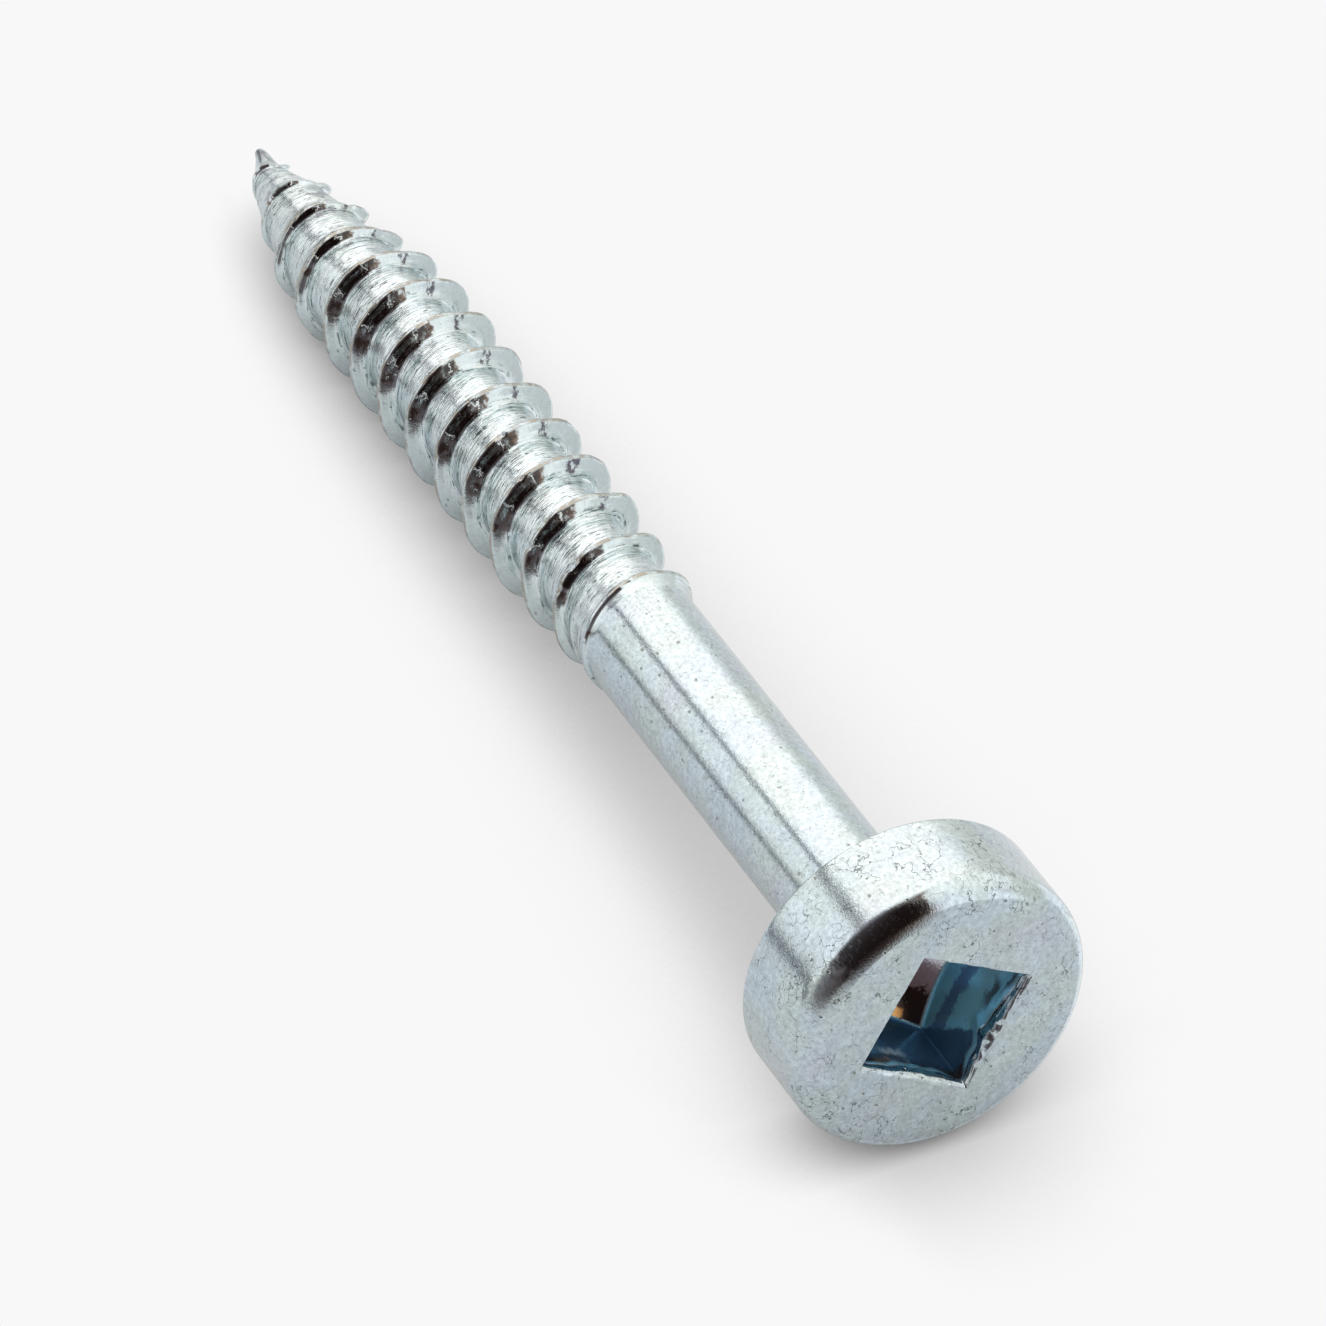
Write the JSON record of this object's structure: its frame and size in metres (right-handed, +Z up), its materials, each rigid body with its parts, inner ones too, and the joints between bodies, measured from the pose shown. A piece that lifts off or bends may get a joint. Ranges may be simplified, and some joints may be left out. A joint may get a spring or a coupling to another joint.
{
  "type": "wood screw",
  "caption": "Pan-head wood screw with a square drive recess, a plain shank, a right-hand thread on its lower part and a gimlet point.",
  "frame": {"origin": "centre of the bearing face under the head, where the head meets the work", "axes": "+X along the screw from the point towards the head, +Z up as the screw lies on its side, +Y across it; the drive recess and the thread stand at the turn about X that they have in the picture"},
  "size_m": [0.0329, 0.0068, 0.0068],
  "materials": {
    "zinc_plated_steel": "bright zinc plate with a clear bluish passivate, slightly pebbled"
  },
  "bodies": {
    "root": {"screw": "zinc_plated_steel"}
  },
  "joints": []
}
